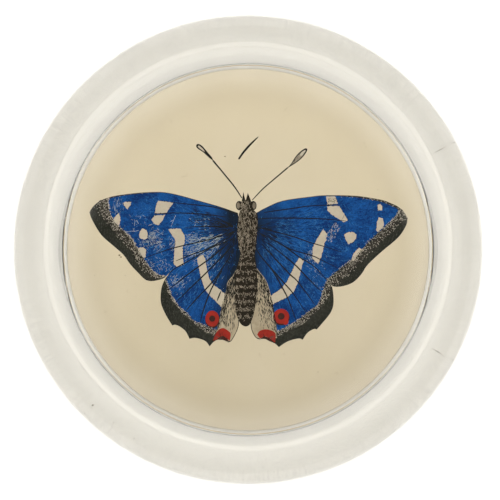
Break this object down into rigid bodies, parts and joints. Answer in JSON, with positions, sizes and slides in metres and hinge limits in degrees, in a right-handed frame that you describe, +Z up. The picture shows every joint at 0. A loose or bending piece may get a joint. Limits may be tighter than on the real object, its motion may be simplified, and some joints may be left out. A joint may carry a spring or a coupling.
{
  "type": "glass dome paperweight",
  "caption": "Round clear glass dome paperweight with a butterfly print on cream paper set into a recess in its underside.",
  "frame": {"origin": "middle of the foot's plane, under the dome's axis", "axes": "+Z up along the dome's axis, +Y towards the butterfly's head, +X to its right as seen from above"},
  "size_m": [0.1, 0.1, 0.0266],
  "materials": {
    "glass": "clear, polished",
    "print": "cream paper with a hand-tinted butterfly",
    "card": "plain white card, matte"
  },
  "bodies": {
    "root": {"glass_dome": "glass", "butterfly_print": "print", "backing_card": "card"}
  },
  "joints": []
}
